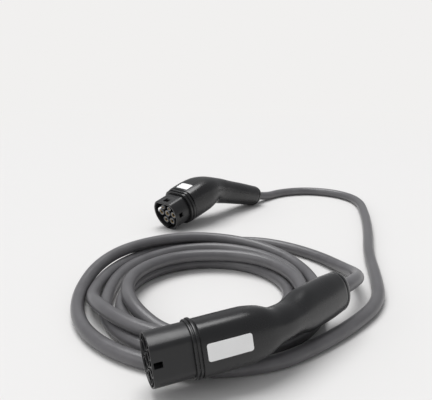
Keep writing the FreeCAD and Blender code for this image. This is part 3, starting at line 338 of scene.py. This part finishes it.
def collarPiece(kind):
    big, flat = kind["collar"]
    size = (big, flat, kind["nose"][2] + big - kind["nose"][0])
    inner = big - kind["nose"][0] + 0.4
    flange, groove, band = kind["collarParts"]
    step, end = flange + groove, flange + groove + band
    profile = [  # behind the nose, inwards from the outline: first ridge, groove, second ridge
        (0, inner), (0, 1.4), (0.15, 1.05), (0.5, 0.8), (flange - 0.3, 0.8), (flange - 0.1, 0.95), (flange, 1.3),
        (flange + 0.05, 1.7), (step - 0.05, 1.7), (step, 0.5), (step + 0.1, 0.2), (step + 0.4, 0), (end - 0.5, 0),
        (end - 0.15, 0.15), (end, 0.5), (end, inner)]
    rings = [dRing(kind, -kind["noseLength"] - at, less, size) for at, less in profile]
    piece = sweepRings(kind["name"] + "Collar", rings)
    return finishPiece(piece, kind, "grip", kind["name"] + "_collar")


housingStations = 44


def gripHousing(kind):
    end = kind["sections"][-1][0]
    stations = [end * n / housingStations for n in range(1, housingStations)]
    front = [(0, 3.0), (0, 0.9), (0.15, 0.4), (0.6, 0.08), (1.4, 0)]  # along, inwards
    rear = [(end - 0.9, 0), (end - 0.25, 0.3), (end, 0.9), (end, housingWall)]
    inside = [(at, housingWall) for at in reversed(stations[::3])]
    profile = front + [(at, 0) for at in stations] + rear + inside
    rings = [gripRing(kind, at, less) for at, less in profile]
    piece = sweepRings(kind["name"] + "GripHousing", rings)
    return finishPiece(piece, kind, "grip", kind["name"] + "_grip_housing")


capRounding = {"steps": 8, "narrowing": 0.235, "power": 1.9}


def glandCap(kind):
    end = kind["sections"][-1][0]
    last = capSeam + capLength
    steps, narrowing, power = (capRounding[word] for word in ("steps", "narrowing", "power"))
    profile = [(0.0, 3.0, 1.0), (0.0, 0.9, 1.0), (0.25, 0.3, 1.0), (0.9, 0.0, 1.0)]  # beyond the seam, less, scale
    profile += [(0.9 + (capLength - 2.5) * n / steps, 0.0, 1 - narrowing * (n / steps) ** power)
                for n in range(1, steps + 1)]
    profile += [(capLength - 0.9, 0.0, 0.748), (capLength - 0.35, 0.0, 0.725), (capLength, 0.0, 0.69)]
    rings = [gripRing(kind, end, less, scale, capSeam + at) for at, less, scale in profile]
    hole = [(last, 1.2), (last - 0.3, 0.5), (last - 1, 0.3), (last - 8, 0.3)]  # along, wider than the cable
    rings += [holeRing(kind, end + at, cableRadius + more) for at, more in hole]
    piece = sweepRings(kind["name"] + "GlandCap", rings)
    return finishPiece(piece, kind, "grip", kind["name"] + "_gland_cap")


labelFilm = {"corner": 2.5, "rise": 0.32, "thickness": 0.45, "steps": (40, 24)}


def labelPlate(kind):  # thin film with rounded corners that follows the flat top
    start, long, wide = kind["label"]
    corner = labelFilm["corner"]
    bpy.ops.object.select_all(action="DESELECT")
    stepsLong, stepsWide = labelFilm["steps"]
    bpy.ops.mesh.primitive_grid_add(x_subdivisions=stepsLong, y_subdivisions=stepsWide, size=2)
    piece = bpy.context.object
    piece.name = piece.data.name = kind["name"] + "Label"
    for vertex in piece.data.vertices:
        u, v = vertex.co.x * long / 2, vertex.co.y * wide / 2
        du, dv = abs(u) - (long / 2 - corner), abs(v) - (wide / 2 - corner)
        if du > 0 and dv > 0:
            shrink = max(du, dv) / math.hypot(du, dv)
            u = math.copysign(long / 2 - corner + du * shrink, u)
            v = math.copysign(wide / 2 - corner + dv * shrink, v)
        along = start + long / 2 - u
        half, top, bottom, square = readTable(kind["sections"], along)
        centre, turn = spine(kind, along)
        rise = top * (1 - (abs(v) / half) ** square) ** (1 / square)
        vertex.co = centre + across(turn, v, rise + labelFilm["rise"])
    bpy.ops.object.mode_set(mode="EDIT")
    bpy.ops.mesh.select_all(action="SELECT")
    bpy.ops.mesh.normals_make_consistent(inside=False)
    bpy.ops.object.mode_set(mode="OBJECT")
    thick = piece.modifiers.new("Film", "SOLIDIFY")
    thick.thickness, thick.offset = labelFilm["thickness"], -1
    bpy.ops.object.modifier_apply(modifier="Film")
    return finishPiece(piece, kind, "label", kind["name"] + "_label", angle=50)


for kind in (vehicle, plug):
    noseShell(kind)
    collarPiece(kind)
    gripHousing(kind)
    glandCap(kind)
    labelPlate(kind)
    print("connector", kind["name"])


# The cable: one spline from the vehicle connector's gland, over the floor, through the coil to the plug's gland

onFloor = cableRadius  # height of the cable's centre where it lies on the floor
cable = {
    "length": 5.5, "stepsPerPoint": 18, "roundSteps": 7,
    "start": [(66.42, 360.90, 18.72), (90.39, 385.81, onFloor)],
    "floorRun": [
        (127.77, 424.67, onFloor), (195.97, 444.37, onFloor), (263.67, 414.37, onFloor), (295.37, 349.67, onFloor),
        (280.17, 244.47, onFloor), (256.17, 133.47, onFloor), (226.17, 23.47, onFloor), (209.17, -84.53, onFloor),
        (191.17, -159.53, onFloor), (141.17, -221.53, onFloor), (83.17, -274.53, onFloor), (34.17, -307.53, onFloor)],
    "coilCentre": (-31.83, -124.53), "pointsPerTurn": 20, "outwards": 1.0124,
    "coil": [  # degrees clockwise from +X, radius, height of the cable's centre
        (92, 190.5, onFloor), (135, 181, onFloor), (172, 173, onFloor), (190, 173, 16), (202, 174, 22),
        (215, 176.5, 25.5), (247, 183, 25.5), (270, 188, 21.5), (292, 182, 17), (315, 170, 12),
        (335, 158, onFloor), (360, 147, onFloor), (405, 160, onFloor), (450, 168, onFloor), (495, 152, onFloor),
        (540, 134, onFloor), (585, 154, onFloor), (630, 174, onFloor), (675, 152, onFloor), (720, 128, onFloor),
        (765, 127, onFloor), (810, 147, onFloor), (855, 132, onFloor), (900, 111, onFloor), (945, 106, onFloor),
        (990, 106, onFloor), (1035, 107, onFloor), (1080, 109, onFloor), (1125, 108, onFloor),
        (1170, 127, onFloor), (1190, 125, 10), (1215, 117, 20), (1238, 111, 25.5), (1260, 106, 25.7),
        (1305, 98, 25.5), (1350, 96, 25), (1395, 106, 25.7), (1440, 119, 25.5), (1462, 130, 25.7),
        (1474, 137, 22.5), (1488, 143.5, 15.5), (1510, 151, 19), (1530, 156, 22), (1553, 153, 24),
        (1575, 150, 25.5), (1597, 152.5, 24), (1610, 154, 14), (1624, 155, onFloor), (1665, 172, onFloor),
        (1690, 189, onFloor), (1700, 196, onFloor)],
    "exitRun": [
        (38.17, 82.47, onFloor), (93.17, 57.47, onFloor), (143.17, 7.47, onFloor), (170.17, -47.53, 11.0),
        (176.17, -107.53, 25.0)],
    "end": [(156.29, -166.87, 42.81), (129.833, -196.816, 44.564)],
}


def cablePoints():
    points = cable["start"] + cable["floorRun"]
    first, last = cable["coil"][0][0], cable["coil"][-1][0]
    steps = round((last - first) * cable["pointsPerTurn"] / 360)
    x0, y0 = cable["coilCentre"]
    for n in range(steps + 1):
        angle = first + (last - first) * n / steps
        radius, z = readTable(cable["coil"], angle)
        radius *= cable["outwards"]
        points.append((x0 + radius * math.cos(math.radians(angle)), y0 - radius * math.sin(math.radians(angle)), z))
    return points + cable["exitRun"] + cable["end"]


def layCable():
    points = cablePoints()
    line = bpy.data.curves.new("ChargingCable", "CURVE")
    line.dimensions = "3D"
    spline = line.splines.new("NURBS")
    spline.points.add(len(points) - 1)
    for knot, point in zip(spline.points, points):
        knot.co = (point[0] * mm, point[1] * mm, point[2] * mm, 1)
    spline.order_u = 3
    spline.use_endpoint_u = True
    spline.resolution_u = cable["stepsPerPoint"]
    line.bevel_depth = cableRadius * mm
    line.bevel_resolution = cable["roundSteps"]
    line.use_fill_caps = True
    piece = bpy.data.objects.new("ChargingCable", line)
    bpy.context.scene.collection.objects.link(piece)
    line.materials.append(finishes["jacket"])
    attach(piece, "root")
    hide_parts("cable_floor_run", "cable_coil", "cable_exit_run")
    return piece


layCable()
print("cable")


# Floor, light and camera

studio = {
    "floor": "dfdedd", "floorSize": 60, "far": "f1f0ef", "fadeFrom": 0.9, "fadeTo": 2.6,
    "light": "f4f5f7", "worldStrength": 0.42,
    "lamps": [  # name, where it shines from, spread in degrees, strength
        ("OverheadBank", (-0.25, 0.45, 1.7), 42, 2.35), ("LeftBank", (-1.2, -0.9, 1.1), 50, 0.6)],
    "camera": {"place": (-0.02183, -0.80453, 0.320), "tilt": 75, "lens": 45, "sensor": 36},
}


def floorMaterial():  # matte seamless paper that fades into the background
    material, tree, place = newMaterial("SeamlessPaper")
    far = addNode(tree, "ShaderNodeVectorMath", {"operation": "LENGTH"}, {0: place})
    fade = addNode(tree, "ShaderNodeMapRange",
                   {"interpolation_type": "SMOOTHSTEP", "From Min": studio["fadeFrom"], "From Max": studio["fadeTo"]},
                   {"Value": far.outputs["Value"]})
    paper = addNode(tree, "ShaderNodeBsdfPrincipled",
                    {"Base Color": srgb(studio["floor"]), "Roughness": 0.75, "Specular IOR Level": 0.2})
    glow = addNode(tree, "ShaderNodeEmission", {"Color": srgb(studio["far"]), "Strength": 1.0})
    mix = addNode(tree, "ShaderNodeMixShader",
                  links={0: fade.outputs["Result"], 1: paper.outputs["BSDF"], 2: glow.outputs["Emission"]})
    addNode(tree, "ShaderNodeOutputMaterial", links={"Surface": mix.outputs["Shader"]})
    return material


def addStudio():
    bpy.ops.object.select_all(action="DESELECT")
    bpy.ops.mesh.primitive_plane_add(size=studio["floorSize"], location=(0, 0, 0))
    floor = bpy.context.object
    floor.name = "StudioFloor"
    floor.data.materials.append(floorMaterial())
    world = bpy.data.worlds.new("Studio")
    bpy.context.scene.world = world
    world.use_nodes = True
    tree = world.node_tree
    tree.nodes.clear()
    seen = addNode(tree, "ShaderNodeLightPath")
    soft = addNode(tree, "ShaderNodeBackground",
                   {"Color": srgb(studio["light"]), "Strength": studio["worldStrength"]})
    behind = addNode(tree, "ShaderNodeBackground", {"Color": srgb(studio["far"]), "Strength": 1.0})
    mix = addNode(tree, "ShaderNodeMixShader", links={
        0: seen.outputs["Is Camera Ray"], 1: soft.outputs["Background"], 2: behind.outputs["Background"]})
    addNode(tree, "ShaderNodeOutputWorld", links={"Surface": mix.outputs["Shader"]})
    for name, place, spread, power in studio["lamps"]:
        bpy.ops.object.light_add(type="SUN", location=place)
        lamp = bpy.context.object
        lamp.name, lamp.data.angle, lamp.data.energy = name, math.radians(spread), power
        lamp.rotation_euler = (-Vector(place)).to_track_quat("-Z", "Y").to_euler()


def addCamera():
    view = studio["camera"]
    lens = bpy.data.cameras.new("PhotoCamera")
    camera = bpy.data.objects.new("PhotoCamera", lens)
    bpy.context.scene.collection.objects.link(camera)
    lens.sensor_width, lens.lens = view["sensor"], view["lens"]
    camera.location = view["place"]
    camera.rotation_euler = (math.radians(view["tilt"]), 0, 0)
    bpy.context.scene.camera = camera


addStudio()
addCamera()
bpy.context.scene.view_settings.view_transform = "Standard"
print("studio")
